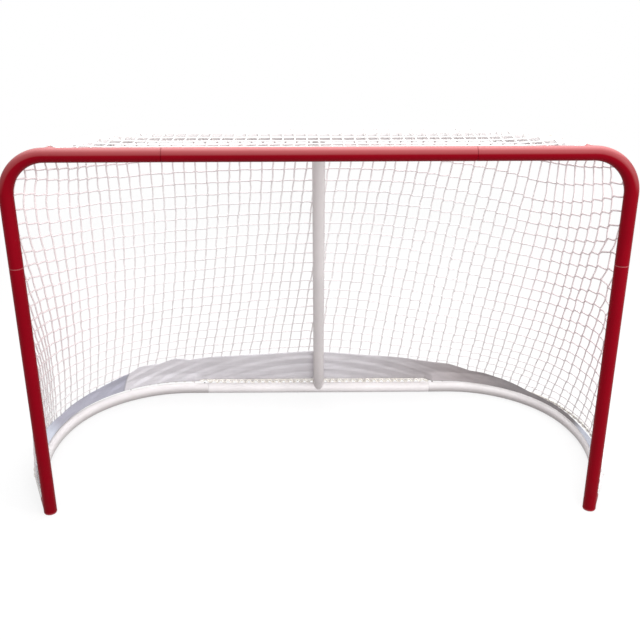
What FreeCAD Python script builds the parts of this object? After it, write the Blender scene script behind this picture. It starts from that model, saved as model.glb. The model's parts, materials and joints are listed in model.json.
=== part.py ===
import FreeCAD, Part
import math
import os
from FreeCAD import Vector

# A steel ice hockey goal. Millimetres, +Z up, the mouth faces -Y, and the origin is on the floor
# under the middle of the object's box.

# Goal mouth, measured between the insides of the posts and up to the crossbar's underside
mouth_width = 1829.0
mouth_height = 1219.0
base_depth = 914.4          # from the posts' axes to the axis of the base's rear tube

# Tubes
frame_od = 44.45
frame_wall = 1.6
shelf_od = 38.1
shelf_wall = 1.5
corner_radius = 125.0       # centreline of the bend between crossbar and post

# Where the tubes come apart
crossbar_joint_x = 465.0
post_joint_z = 895.0
base_joint_straight = 80.0  # straight end of a base side tube, over the rear tube's spigot
shelf_joint_straight = 88.0  # and of a shelf side tube

# Plan of the base, centrelines
rear_bend_radius = 472.0
side_bend_radius = 650.0
base_stub_angle = 24.0      # degrees outwards from straight back
base_stub_length = 60.0     # from the post's axis to the joint
base_end_straight = 76.0    # straight end of a side tube, over the stub's spigot
# Plan of the top shelf, centrelines
shelf_depth = 330.0
shelf_bend_radius = 300.0
shelf_side_angle = 27.0     # degrees inwards from straight back
shelf_foot_x = 820.0        # where the shelf meets the crossbar's axis
shelf_stub_length = 46.0    # from the crossbar's axis to the joint

# Spigot joints
swage_length = 3.0
spigot_length = 72.0
spigot_clearance = 0.15     # radial, between a spigot and the tube over it
joint_gap = 0.3             # between a tube's end and the shoulder that it meets

# Spring buttons that lock the joints
button_offset = 18.0        # from the joint to the button's axis
button_radius = 3.2
button_clearance = 0.15     # radial, in its holes
button_proud = 3.0          # how far the head stands out of the tube
button_dome = 1.4           # bevel of the head
flange_radius = 4.8
flange_thickness = 1.2
flange_gap = 0.15           # between the flange and the spigot's inside
button_overtravel = 0.4     # how far under the spigot's surface the head ends when pressed
base_button_tilt = 17.0     # degrees backwards from straight up
centre_button_turn = 50.0   # degrees round the centre post from straight back
spring_thickness = 0.8
spring_width = 7.0
spring_length = 40.0
spring_gap = 0.15           # between a spring and what it bears on

# Centre support
centre_post_stub = 50.0     # from the base tube's axis to the joint
centre_head_stub = 44.0     # from the shelf tube's axis to the joint

# Caps in the posts' feet
cap_height = 8.0
cap_edge = 5.0              # how far the rounding of the foot's edge reaches
cap_plug_length = 24.0
cap_plug_wall = 2.5
cap_clearance = 0.1         # radial, in the post

# Rods that the net is laced to
rod_diameter = 6.35
rod_standoff = 33.6         # from the tube's axis to the rod's axis
rod_end_gap = 40.0          # from a joint to the end of a rod
rod_pin_diameter = 6.0      # the pins that hold a rod off its tube
rod_pin_pitch = 330.0       # at most, from pin to pin
rod_pin_inset = 25.0        # from a rod's end to its first pin
base_rod_angle = 50.0       # above the horizontal, on the outside of the base
post_rod_foot = 85.0        # height of the lower end of a post's rod
bend_rod_clearance = 30.0   # from the shelf's stub to the rods beside it

# Net and skirt
net_thickness = 2.4
net_pitch = 112.0           # one gap stands for three meshes of the net each way
net_band = 12.0             # width of the solid between two gaps
net_clearance = 0.3
net_fold_gap = 0.9          # between the edges of two panels
smallest_gap_share = 0.15   # a gap that the edge cuts smaller than this is left out
top_net_front = 40.0        # from the crossbar's axis back to the edge of the top net
corner_panels = 3           # bends of the net round each rear corner
side_panels = 3             # bends between the shelf's side and the post
skirt_thickness = 1.5
skirt_low = 9.0             # height of the skirt's lower edge over the net's
skirt_high = 175.0          # and of its upper edge
skirt_gap = 0.35            # between the net and the skirt
skirt_fold_depth = 8.0
skirt_fold_pitch = 170.0
skirt_flat_half = 40.0      # flat stretch behind the centre post

# Places worked out from the sizes above
up = Vector(0, 0, 1)
back = Vector(0, 1, 0)
right = Vector(1, 0, 0)
frame_radius = frame_od / 2
shelf_radius = shelf_od / 2
rod_radius = rod_diameter / 2
rod_rise = rod_standoff * math.sin(math.radians(base_rod_angle))
rod_reach = rod_standoff * math.cos(math.radians(base_rod_angle))
rear_overhang = max(0.0, rod_reach + rod_radius - frame_radius)
front_y = -(base_depth + rear_overhang) / 2
rear_y = front_y + base_depth
post_x = mouth_width / 2 + frame_radius
top_z = mouth_height + frame_radius
base_z = frame_radius
bore_radius = frame_radius - frame_wall
spigot_radius = bore_radius - spigot_clearance
shelf_rear_y = front_y + shelf_depth

stub_angle = math.radians(base_stub_angle)
shelf_angle = math.radians(shelf_side_angle)
# The base's two bends meet where their headings agree and the depth comes out right
base_end_reach = base_stub_length + base_end_straight
bend_split = math.asin(
    (base_depth - base_end_reach * math.cos(stub_angle) - side_bend_radius * math.sin(stub_angle)
     - rear_bend_radius) / (side_bend_radius - rear_bend_radius))
rear_bend_turn = math.pi / 2 - bend_split
side_bend_turn = bend_split + stub_angle
rear_straight_x = (post_x + base_end_reach * math.sin(stub_angle)
                   + side_bend_radius * (math.cos(bend_split) - math.cos(stub_angle))
                   - rear_bend_radius * math.cos(bend_split))
base_joint_x = rear_straight_x - base_joint_straight
shelf_turn = math.pi / 2 - shelf_angle
shelf_side_length = (shelf_depth - shelf_bend_radius * (1 - math.sin(shelf_angle))) / math.cos(shelf_angle)
shelf_straight_x = (shelf_foot_x - shelf_side_length * math.sin(shelf_angle)
                    - shelf_bend_radius * math.cos(shelf_angle))
shelf_joint_x = shelf_straight_x - shelf_joint_straight
post_lean = math.atan2(base_depth - shelf_depth, top_z - base_z)
lean_up = Vector(0, -math.sin(post_lean), math.cos(post_lean))
lean_back = Vector(0, math.cos(post_lean), math.sin(post_lean))


def export(shape, node):
    shape.exportStep("parts/" + node + ".step")


def mirrored(shape):
    return shape.mirror(Vector(0, 0, 0), right)


def turned(vector, axis, angle):
    return FreeCAD.Rotation(axis, math.degrees(angle)).multVec(vector)


def disc(centre, normal, radius):
    return Part.Face(Part.Wire(Part.makeCircle(radius, centre, normal)))


def ring(centre, normal, outer, inner):
    return disc(centre, normal, outer).cut(disc(centre, normal, inner)).Faces[0]


def straight(length):
    return ("straight", length, None, None)


def bend(radius, turn, axis):
    return ("bend", radius, turn, axis)


def bend_centre(place, way, radius, turn, axis):
    return place + axis.cross(way) * (radius if turn > 0 else -radius)


def route_end(place, way, segments):
    """Where a route ends and which way it then points."""
    for kind, size, turn, axis in segments:
        if kind == "straight":
            place = place + way * size
        else:
            centre = bend_centre(place, way, size, turn, axis)
            place = centre + turned(place - centre, axis, turn)
            way = turned(way, axis, turn)
    return place, way


def swept(place, way, segments, outer, inner=None):
    """A round bar or tube along straight runs and tangent bends."""
    pieces = []
    for kind, size, turn, axis in segments:
        section = ring(place, way, outer, inner) if inner else disc(place, way, outer)
        if kind == "straight":
            pieces.append(section.extrude(way * size))
        else:
            centre = bend_centre(place, way, size, turn, axis)
            pieces.append(section.revolve(centre, axis, math.degrees(turn)))
        place, way = route_end(place, way, [(kind, size, turn, axis)])
    if len(pieces) == 1:
        return pieces[0]
    return pieces[0].multiFuse(pieces[1:]).removeSplitter()


def spun(origin, axis, side, profile):
    """Turn a profile of (distance along the axis, radius) points about the axis."""
    points = [origin + axis * along + side * radius for along, radius in profile]
    face = Part.Face(Part.makePolygon(points + [points[0]]))
    return face.revolve(origin, axis, 360)


class Joint:
    """A spigot joint: its shoulder's middle, the way the spigot points and the way its button faces."""

    def __init__(self, place, way, button_way, tube_radius, wall):
        self.place = place
        self.way = way
        self.button_way = button_way
        self.tube_radius = tube_radius
        self.wall = wall
        self.outside = tube_radius - wall - spigot_clearance
        self.inside = self.outside - wall
        self.button_place = place + way * button_offset

    def spigot(self):
        """The swaged end of the tube that goes in, with the hole for its button."""
        big, small, wall = self.tube_radius, self.outside, self.wall
        profile = [(-swage_length, big), (0, small), (spigot_length, small),
                   (spigot_length, small - wall), (0, small - wall), (-swage_length, big - wall)]
        return spun(self.place, self.way, self.button_way, profile).cut(self.hole())

    def hole(self):
        return Part.makeCylinder(button_radius + button_clearance, self.tube_radius + button_proud,
                                 self.button_place, self.button_way)

    def flange_top(self):
        return math.sqrt(self.inside ** 2 - flange_radius ** 2) - flange_gap

    def button(self):
        """A pin with a bevelled head and a flange that keeps it inside the spigot."""
        head = self.tube_radius + button_proud
        top = self.flange_top()
        low = top - flange_thickness
        rim = head - button_dome
        profile = [(low, 0), (low, flange_radius), (top, flange_radius), (top, button_radius),
                   (rim, button_radius)]
        profile += [(head, button_radius - button_dome), (head, 0)]
        return spun(self.button_place, self.button_way, self.way, profile)

    def travel(self):
        """How far the button goes in before the outer tube can slide over it."""
        return button_proud + self.wall + spigot_clearance + button_overtravel

    def spring(self):
        """A strip bent to a V, one leg under the button and one on the far wall."""
        across = self.way.cross(self.button_way)
        half = spring_width / 2
        thick = spring_thickness
        top = self.flange_top() - flange_thickness - spring_gap
        floor = -math.sqrt(self.inside ** 2 - half ** 2) + spring_gap
        middle = (top + floor) / 2
        near = button_offset - flange_radius
        far = near + spring_length
        outline = [(near, top), (far, middle + thick / 2), (far, middle - thick / 2), (near, floor),
                   (near, floor + thick), (far - 2 * thick, middle), (near, top - thick)]
        start = self.place - across * half
        points = [start + self.way * along + self.button_way * height for along, height in outline]
        return Part.Face(Part.makePolygon(points + [points[0]])).extrude(across * spring_width)


# Joints, each with its spigot pointing into the tube that slides over it
stub_way = Vector(math.sin(stub_angle), math.cos(stub_angle), 0)
shelf_way = Vector(-math.sin(shelf_angle), math.cos(shelf_angle), 0)
stub_start = Vector(post_x, front_y, base_z)
shelf_start = Vector(shelf_foot_x, front_y, top_z)
base_middle = Vector(0, rear_y, base_z)
shelf_middle = Vector(0, shelf_rear_y, top_z)
base_button_way = turned(up, right, -math.radians(base_button_tilt))
centre_button_way = turned(lean_back, lean_up, -math.radians(centre_button_turn))

crossbar_joint = Joint(Vector(crossbar_joint_x, front_y, top_z), right, back, frame_radius, frame_wall)
post_joint = Joint(Vector(post_x, front_y, post_joint_z), up, back, frame_radius, frame_wall)
stub_joint = Joint(stub_start + stub_way * base_stub_length, stub_way, up, frame_radius, frame_wall)
rear_joint = Joint(Vector(base_joint_x, rear_y, base_z), right, base_button_way, frame_radius,
                   frame_wall)
shelf_stub_joint = Joint(shelf_start + shelf_way * shelf_stub_length, shelf_way, -up, shelf_radius,
                         shelf_wall)
shelf_rear_joint = Joint(Vector(shelf_joint_x, shelf_rear_y, top_z), right, -up, shelf_radius,
                         shelf_wall)
foot_joint = Joint(base_middle + lean_up * centre_post_stub, lean_up, centre_button_way,
                   frame_radius, frame_wall)
head_joint = Joint(shelf_middle - lean_up * centre_head_stub, -lean_up, centre_button_way,
                   frame_radius, frame_wall)
side_joints = {"crossbar": crossbar_joint, "post": post_joint, "base_stub": stub_joint,
               "base_rear": rear_joint, "shelf_stub": shelf_stub_joint,
               "shelf_rear": shelf_rear_joint}
middle_joints = {"centre_foot": foot_joint, "centre_head": head_joint}

# Routes on the right side, from one joint to the next
right_angle = math.pi / 2
corner_route = [straight(post_x - corner_radius - crossbar_joint_x),
                bend(corner_radius, right_angle, back),
                straight(top_z - corner_radius - post_joint_z)]
base_route = [straight(rear_straight_x - base_joint_x),
              bend(rear_bend_radius, -rear_bend_turn, up),
              bend(side_bend_radius, -side_bend_turn, up),
              straight(base_end_straight)]
shelf_route = [straight(shelf_straight_x - shelf_joint_x),
               bend(shelf_bend_radius, -shelf_turn, up),
               straight(shelf_side_length - shelf_stub_length)]


def gapped_tube(joint, way, route, radius, wall, last_joint):
    """A tube whose ends slide over two spigots and stop short of their shoulders."""
    segments = ([straight(route[0][1] - joint_gap)] + route[1:-1]
                + [straight(route[-1][1] - joint_gap)])
    tube = swept(joint.place + way * joint_gap, way, segments, radius, radius - wall)
    return tube.cut(joint.hole()).cut(last_joint.hole())


def middle_tube(joint, radius, wall):
    """A straight tube with a spigot at each end."""
    half = joint.place.x - swage_length
    start = Vector(-half, joint.place.y, joint.place.z)
    tube = swept(start, right, [straight(2 * half)], radius, radius - wall)
    return tube.multiFuse([joint.spigot(), mirrored(joint.spigot())]).removeSplitter()


def corner():
    return gapped_tube(crossbar_joint, right, corner_route, frame_radius, frame_wall, post_joint)


def base_side():
    return gapped_tube(rear_joint, right, base_route, frame_radius, frame_wall, stub_joint)


def shelf_side():
    return gapped_tube(shelf_rear_joint, right, shelf_route, shelf_radius, shelf_wall,
                       shelf_stub_joint)


def post():
    start = Vector(post_x, front_y, cap_height)
    tube = swept(start, up, [straight(post_joint_z - swage_length - cap_height)], frame_radius,
                 bore_radius)
    return tube.fuse(post_joint.spigot()).removeSplitter()


def post_cap():
    """A plastic foot that plugs the post, with its edge taken off where it meets the floor."""
    foot = Vector(post_x, front_y, 0)
    corner_cut = cap_edge * (1 - math.sqrt(0.5))
    profile = [(0, 0), (0, frame_radius - cap_edge), (corner_cut, frame_radius - corner_cut),
               (cap_edge, frame_radius), (cap_height, frame_radius), (cap_height, 0)]
    plug_radius = bore_radius - cap_clearance
    plug_end = cap_height + cap_plug_length
    plug = [(cap_height, 0), (cap_height, plug_radius), (plug_end, plug_radius),
            (plug_end, plug_radius - cap_plug_wall), (cap_height, plug_radius - cap_plug_wall)]
    return spun(foot, up, right, profile[:-1] + plug[1:] + [(cap_height, 0)])


def bar_through(place, way, radius):
    """A long round bar through a place, to cut a welded end to the tube that it meets."""
    reach = 4 * frame_od
    return Part.makeCylinder(radius, 2 * reach, place - way * reach, way)


def stub(start, joint, radius, wall, length, host_way, host_radius):
    """A short tube welded to the side of another, with a spigot at its free end."""
    way = joint.way
    tube = swept(start, way, [straight(length - swage_length)], radius, radius - wall)
    tube = tube.cut(bar_through(start, host_way, host_radius))
    return tube.fuse(joint.spigot()).removeSplitter()


def base_stub():
    return stub(stub_start, stub_joint, frame_radius, frame_wall, base_stub_length, up, frame_radius)


def shelf_stub():
    """Its host is the corner tube, whose bend begins beside it."""
    way = shelf_stub_joint.way
    tube = swept(shelf_start, way, [straight(shelf_stub_length - swage_length)], shelf_radius,
                 shelf_radius - shelf_wall)
    host = swept(crossbar_joint.place, right, corner_route, frame_radius)
    return tube.cut(host).fuse(shelf_stub_joint.spigot()).removeSplitter()


def centre_stub(start, joint, host_radius):
    """A bare spigot welded to the middle of a rear tube; the centre post slides over it."""
    length = (joint.place - start).Length + spigot_length
    tube = swept(start, joint.way, [straight(length)], joint.outside, joint.inside)
    return tube.cut(bar_through(start, right, host_radius)).cut(joint.hole())


def centre_post():
    start = foot_joint.place
    length = (head_joint.place - start).Length
    tube = swept(start, lean_up, [straight(length)], frame_radius, bore_radius)
    return tube.cut(foot_joint.hole()).cut(head_joint.hole())


# Rods that the net is laced to, held off their tubes by short pins
def wider(segments, amount):
    """The same route on the outside of its bends."""
    return [(kind, size if kind == "straight" else size + amount, turn, axis)
            for kind, size, turn, axis in segments]


def route_length(segments):
    return sum(size if kind == "straight" else size * abs(turn) for kind, size, turn, axis in segments)


def route_start(segments, length):
    """The first stretch of a route, up to a length along it."""
    start = []
    for kind, size, turn, axis in segments:
        whole = size if kind == "straight" else size * abs(turn)
        part = min(length, whole)
        if part > 0:
            start.append(straight(part) if kind == "straight"
                         else bend(size, turn * part / whole, axis))
        length -= part
    return start


def rod(place, way, out, segments):
    """A rod beside a tube: place is on the tube's axis, and out points from it to the rod."""
    level = place + out * rod_standoff
    bar = swept(level, way, segments, rod_radius)
    inner_reach = route_length(segments) - 2 * rod_pin_inset
    spaces = math.ceil(inner_reach / rod_pin_pitch)
    pins = []
    for i in range(spaces + 1):
        first = route_start(segments, rod_pin_inset + inner_reach * i / spaces)
        spot, spot_way = route_end(level, way, first)
        pin_out = out
        for kind, size, turn, axis in first:
            if kind == "bend":
                pin_out = turned(pin_out, axis, turn)
        foot = spot - pin_out * rod_standoff
        pin = Part.makeCylinder(rod_pin_diameter / 2, rod_standoff, foot, pin_out)
        pins.append(pin.cut(bar_through(foot, spot_way, frame_radius)))
    return bar.multiFuse(pins).removeSplitter()


base_out = Vector(0, rod_reach / rod_standoff, rod_rise / rod_standoff)


def rod_lines():
    """Each rod's start on its tube's axis, its direction, offset direction and route."""
    stub_edge = shelf_radius / math.cos(shelf_angle) + bend_rod_clearance
    bend_start = math.asin((shelf_foot_x + stub_edge - (post_x - corner_radius)) / corner_radius)
    bend_place, bend_way = route_end(crossbar_joint.place, right,
                                     [corner_route[0], bend(corner_radius, bend_start, back)])
    base_run = wider([straight(base_route[0][1] - rod_end_gap)] + base_route[1:3]
                     + [straight(base_end_straight - rod_end_gap)], rod_reach)
    return {
        "crossbar": (Vector(rod_end_gap - crossbar_joint_x, front_y, top_z), right, back,
                     [straight(2 * (crossbar_joint_x - rod_end_gap))]),
        "corner_top": (crossbar_joint.place + right * rod_end_gap, right, back,
                       [straight(shelf_foot_x - stub_edge - crossbar_joint_x - rod_end_gap)]),
        "corner_bend": (bend_place, bend_way, back,
                        [bend(corner_radius, right_angle - bend_start, back),
                         straight(top_z - corner_radius - post_joint_z - rod_end_gap)]),
        "post": (Vector(post_x, front_y, post_rod_foot), up, back,
                 [straight(post_joint_z - rod_end_gap - post_rod_foot)]),
        "base_rear": (Vector(rod_end_gap - base_joint_x, rear_y, base_z), right, base_out,
                      [straight(2 * (base_joint_x - rod_end_gap))]),
        "base_side": (rear_joint.place + right * rod_end_gap, right, base_out, base_run),
    }


# The net's panels: each is flat, and leans from the shelf's tube to the base's rods
half_net = net_thickness / 2
skirt_inset = (half_net + skirt_gap) / math.cos(post_lean) + skirt_thickness / 2
top_line_z = top_z + shelf_radius
low_line_z = base_z + rod_rise + rod_radius + net_clearance + half_net * math.sin(post_lean)
base_turn = right_angle + stub_angle
panel_turns = ([shelf_turn * i / corner_panels for i in range(corner_panels + 1)]
               + [shelf_turn + (base_turn - shelf_turn) * i / side_panels
                  for i in range(1, side_panels + 1)])


def outwards(turn):
    return Vector(math.sin(turn), math.cos(turn), 0)


def along(turn):
    return Vector(math.cos(turn), -math.sin(turn), 0)


def route_at(place, way, segments, turn):
    """The point of a route, past its first straight, where it has turned so far."""
    place, way = route_end(place, way, segments[:1])
    for kind, size, swing, axis in segments[1:]:
        if kind == "bend":
            part = min(turn, abs(swing))
            place, way = route_end(place, way, [bend(size, math.copysign(part, swing), axis)])
            turn -= part
    return place


def crossing(first, first_way, second, second_way):
    """Where two level lines cross, at the first line's height."""
    gap = second - first
    across = first_way.x * second_way.y - first_way.y * second_way.x
    reach = (gap.x * second_way.y - gap.y * second_way.x) / across
    return first + first_way * reach


def panel_lines():
    """A point on the top line and on the low line of the panel at each turn."""
    top_points, low_points = [], []
    slope = math.tan(post_lean)
    for turn in panel_turns:
        base_point = route_at(rear_joint.place, right, base_route, turn)
        out = outwards(turn)
        if turn <= shelf_turn + 1e-9:
            shelf_point = route_at(shelf_rear_joint.place, right, shelf_route, turn)
            for attempt in range(4):
                lean = math.atan(slope)
                # The rear panel also clears the centre post, which is wider than the shelf
                inside = shelf_radius if turn > 0 else max(shelf_radius, frame_radius)
                top_reach = (inside + net_clearance + half_net) / math.cos(lean) \
                    - shelf_radius * slope
                low_reach = rod_reach - (low_line_z - base_z - rod_rise) * slope
                top_point = shelf_point + out * top_reach
                low_point = base_point + out * low_reach
                slope = (low_point - top_point).dot(out) / (top_line_z - low_line_z)
            top_points.append(Vector(top_point.x, top_point.y, top_line_z))
        low_point = base_point + out * low_reach
        low_points.append(Vector(low_point.x, low_point.y, low_line_z))
    return top_points, low_points


def crossings(points):
    return [crossing(points[i], along(panel_turns[i]), points[i + 1], along(panel_turns[i + 1]))
            for i in range(len(points) - 1)]


top_points, low_points = panel_lines()
top_corners = crossings(top_points)
low_corners = crossings(low_points)
front_corner = crossing(top_points[-1], along(shelf_turn),
                        Vector(0, front_y + top_net_front, top_line_z), right)
net_front_y = front_y + rod_standoff + rod_radius + net_clearance + half_net
post_top = Vector(post_x, net_front_y, top_z - corner_radius)
post_low = Vector(post_x, net_front_y, post_rod_foot)
stub_low = low_points[-1] + along(base_turn) * (base_end_straight - rod_end_gap)


def side_outlines():
    """The corners of each of a side net's panels, from the rear corner to the post."""
    outlines = [[top_corners[i], top_corners[i + 1], low_corners[i + 1], low_corners[i]]
                for i in range(corner_panels - 1)]
    last = corner_panels - 1
    outlines.append([top_corners[last], front_corner, low_corners[last + 1], low_corners[last]])
    outlines.append([front_corner, low_corners[last + 2], low_corners[last + 1]])
    outlines.append([front_corner, post_top, low_corners[last + 2]])
    outlines.append([post_top, low_corners[last + 3], low_corners[last + 2]])
    outlines.append([post_top, stub_low, low_corners[last + 3]])
    outlines.append([post_top, post_low, stub_low])
    return outlines


def clipped(polygon, place, inward):
    """Keep the part of a flat polygon on the inner side of a line."""
    kept = []
    for i, point in enumerate(polygon):
        before = polygon[i - 1]
        side, side_before = (point - place).dot(inward), (before - place).dot(inward)
        if (side > 0) != (side_before > 0):
            kept.append(before + (point - before) * (side_before / (side_before - side)))
        if side > 0:
            kept.append(point)
    return kept


def edges_inward(polygon):
    """A point on each edge of a convex polygon in the XY plane, and the way in from it."""
    centre = sum(polygon, Vector()) * (1 / len(polygon))
    lines = []
    for i, point in enumerate(polygon):
        way = point - polygon[i - 1]
        inward = Vector(-way.y, way.x, 0).normalize()
        if (centre - point).dot(inward) < 0:
            inward = inward * -1
        lines.append((point, inward))
    return lines


def inset(polygon, amounts):
    """Move each edge of a convex polygon in the XY plane inwards by its own amount."""
    shrunk = polygon
    for (place, inward), amount in zip(edges_inward(polygon), amounts):
        shrunk = clipped(shrunk, place + inward * amount, inward)
    return shrunk


def area(polygon):
    total = sum((polygon[i - 1].cross(point)).z for i, point in enumerate(polygon))
    return abs(total) / 2


def outline_wire(polygon):
    return Part.makePolygon(polygon + [polygon[0]])


def panel_normal(corners):
    return (corners[1] - corners[0]).cross(corners[-1] - corners[0]).normalize()


def fold_insets(corners, outlines):
    """How far each edge of a panel stops short of the fold that it shares with another panel."""
    amounts = []
    for i, corner in enumerate(corners):
        fold = 0
        for other in outlines:
            shared = [point for point in other if point in (corner, corners[i - 1])]
            if other is not corners and len(shared) == 2:
                fold = panel_normal(corners).getAngle(panel_normal(other))
        amounts.append(half_net * math.tan(fold / 2) + net_fold_gap / 2)
    return amounts


def net_panel(corners, insets, across=None):
    """A flat lattice: a thin plate with square gaps, clipped to the panel's outline."""
    origin = corners[0]
    across = across or (corners[-1] - corners[-2]).normalize()
    normal = panel_normal(corners)
    rise = normal.cross(across)
    flat = [Vector((corner - origin).dot(across), (corner - origin).dot(rise), 0)
            for corner in corners]
    outline = inset(flat, insets)
    field = inset(flat, [net_band] * len(flat))
    gap = net_pitch - net_band
    low_x, high_x = min(p.x for p in field), max(p.x for p in field)
    low_y, high_y = min(p.y for p in field), max(p.y for p in field)
    columns = math.ceil((high_x - low_x) / net_pitch)
    rows = math.ceil((high_y - low_y) / net_pitch)
    first_x = (low_x + high_x - columns * net_pitch + net_band) / 2
    first_y = (low_y + high_y - rows * net_pitch + net_band) / 2
    gaps = []
    for column in range(columns):
        for row in range(rows):
            x, y = first_x + column * net_pitch, first_y + row * net_pitch
            window = [Vector(x, y, 0), Vector(x + gap, y, 0), Vector(x + gap, y + gap, 0),
                      Vector(x, y + gap, 0)]
            for place, inward in edges_inward(field):
                window = clipped(window, place, inward)
            if len(window) > 2 and area(window) > smallest_gap_share * gap * gap:
                gaps.append(window)
    plate = Part.Face([outline_wire(outline)] + [outline_wire(window) for window in gaps])
    plate.validate()
    solid = plate.extrude(up * net_thickness)
    solid.translate(up * -half_net)
    solid.Placement = FreeCAD.Placement(origin, FreeCAD.Rotation(across, rise, normal, "ZXY")) \
        .multiply(solid.Placement)
    return solid


def net_back():
    right_top, right_low = top_corners[0], low_corners[0]
    left_top = Vector(-right_top.x, right_top.y, right_top.z)
    left_low = Vector(-right_low.x, right_low.y, right_low.z)
    side_panel = side_outlines()[0]
    corners = [left_top, right_top, right_low, left_low]
    fold = panel_normal(corners).getAngle(panel_normal(side_panel))
    return net_panel(corners, [half_net * math.tan(fold / 2) + net_fold_gap / 2] * 4)


def net_side():
    outlines = side_outlines()
    return Part.makeCompound([net_panel(outline, fold_insets(outline, outlines)) for outline in outlines])


def net_top():
    height = top_line_z + net_clearance + half_net
    half = [front_corner] + top_corners[::-1]
    half = [Vector(corner.x, corner.y, height) for corner in half]
    other = [Vector(-corner.x, corner.y, height) for corner in reversed(half)]
    centre = Vector(0, sum(corner.y for corner in half) / len(half), height)
    corners = [corner - centre for corner in half + other]
    shrunk = inset(corners, [net_thickness] * len(corners))
    return net_panel([corner + centre for corner in shrunk], [0] * len(shrunk), right)


def skirt_strips():
    """The low and top corners of each panel that the skirt runs along, from the middle out."""
    strips = [(Vector(0, low_corners[0].y, low_line_z), low_corners[0],
               Vector(0, top_corners[0].y, top_line_z), top_corners[0])]
    for outline in side_outlines():
        if len(outline) == 4:
            strips.append((outline[3], outline[2], outline[0], outline[1]))
        elif outline[1] != post_top:
            # The skirt passes inside the panel that stands on its point
            on_point = outline[2] == low_corners[corner_panels + 1]
            strips.append((outline[2], outline[1], front_corner if on_point else outline[0], outline[0]))
    return strips


def skirt_outline(height):
    """The strip's level section at one height, with an inward fold from each station to the next."""
    outer, inner, folds = [], [], []
    for low_a, low_b, top_a, top_b in skirt_strips():
        first = low_a + (top_a - low_a) * ((height - low_a.z) / (top_a.z - low_a.z))
        last = low_b + (top_b - low_b) * ((height - low_b.z) / (top_b.z - low_b.z))
        way = (last - first).normalize()
        inward = way.cross(up)
        count = max(1, round((low_b - low_a).Length / skirt_fold_pitch))
        spots = [first + (last - first) * (i / count) for i in range(count)]
        depths = [skirt_fold_depth] * count
        if not outer:
            spots.insert(1, first + way * skirt_flat_half)
            depths.insert(0, 0.0)
        for spot, depth in zip(spots, depths):
            outer.append(spot + inward * (skirt_inset - skirt_thickness / 2))
            inner.append(spot + inward * (skirt_inset + skirt_thickness / 2))
            folds.append(inward * depth)
    outer.append(last + inward * (skirt_inset - skirt_thickness / 2))
    inner.append(last + inward * (skirt_inset + skirt_thickness / 2))

    def side(line):
        edges = []
        for start, end, fold in zip(line, line[1:], folds):
            if fold.Length == 0:
                edges.append(Part.makeLine(start, end))
            else:
                edges.append(Part.Arc(start, (start + end) * 0.5 + fold, end).toShape())
        return edges

    ends = [Part.makeLine(inner[0], outer[0]), Part.makeLine(outer[-1], inner[-1])]
    return Part.Wire(Part.__sortEdges__(side(outer) + side(inner) + ends))


def skirt():
    """A cloth strip inside the foot of the net, lofted from its lower to its upper edge."""
    half = Part.makeLoft([skirt_outline(low_line_z + skirt_low), skirt_outline(low_line_z + skirt_high)],
                         True, True)
    return half.fuse(mirrored(half)).removeSplitter()


def both_sides(shape, node):
    export(shape, node + "_right")
    export(mirrored(shape), node + "_left")


def main():
    os.makedirs("parts", exist_ok=True)
    export(middle_tube(crossbar_joint, frame_radius, frame_wall), "crossbar")
    export(middle_tube(rear_joint, frame_radius, frame_wall), "base_rear")
    export(middle_tube(shelf_rear_joint, shelf_radius, shelf_wall), "shelf_rear")
    export(centre_post(), "centre_post")
    export(centre_stub(base_middle, foot_joint, frame_radius), "centre_foot_stub")
    export(centre_stub(shelf_middle, head_joint, shelf_radius), "centre_head_stub")
    for node, make in {"corner": corner, "post": post, "post_cap": post_cap, "base_stub": base_stub,
                       "base_side": base_side, "shelf_side": shelf_side,
                       "shelf_stub": shelf_stub}.items():
        both_sides(make(), node)

    lines = rod_lines()
    for node in ("crossbar", "base_rear"):
        export(rod(*lines[node]), node + "_rod")
    both_sides(Part.makeCompound([rod(*lines["corner_top"]), rod(*lines["corner_bend"])]),
               "corner_rods")
    both_sides(rod(*lines["post"]), "post_rod")
    both_sides(rod(*lines["base_side"]), "base_side_rod")

    export(net_back(), "net_back")
    export(net_top(), "net_top")
    both_sides(net_side(), "net_side")
    export(skirt(), "skirt")

    springs = []
    for name, joint in side_joints.items():
        both_sides(joint.button(), name + "_button")
        springs += [joint.spring(), mirrored(joint.spring())]
    for name, joint in middle_joints.items():
        export(joint.button(), name + "_button")
        springs.append(joint.spring())
    export(Part.makeCompound(springs), "button_springs")
    for name, joint in list(side_joints.items()) + list(middle_joints.items()):
        print("button", name, "at", tuple(joint.button_place), "faces", tuple(joint.button_way),
              "and goes in by", joint.travel())
    print("base rear bend from x", rear_straight_x, "shelf bend from x", shelf_straight_x)


main()
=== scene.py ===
import bmesh
import bpy
import json
import math
import random
import numpy as np
from mathutils import Matrix, Vector


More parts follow.
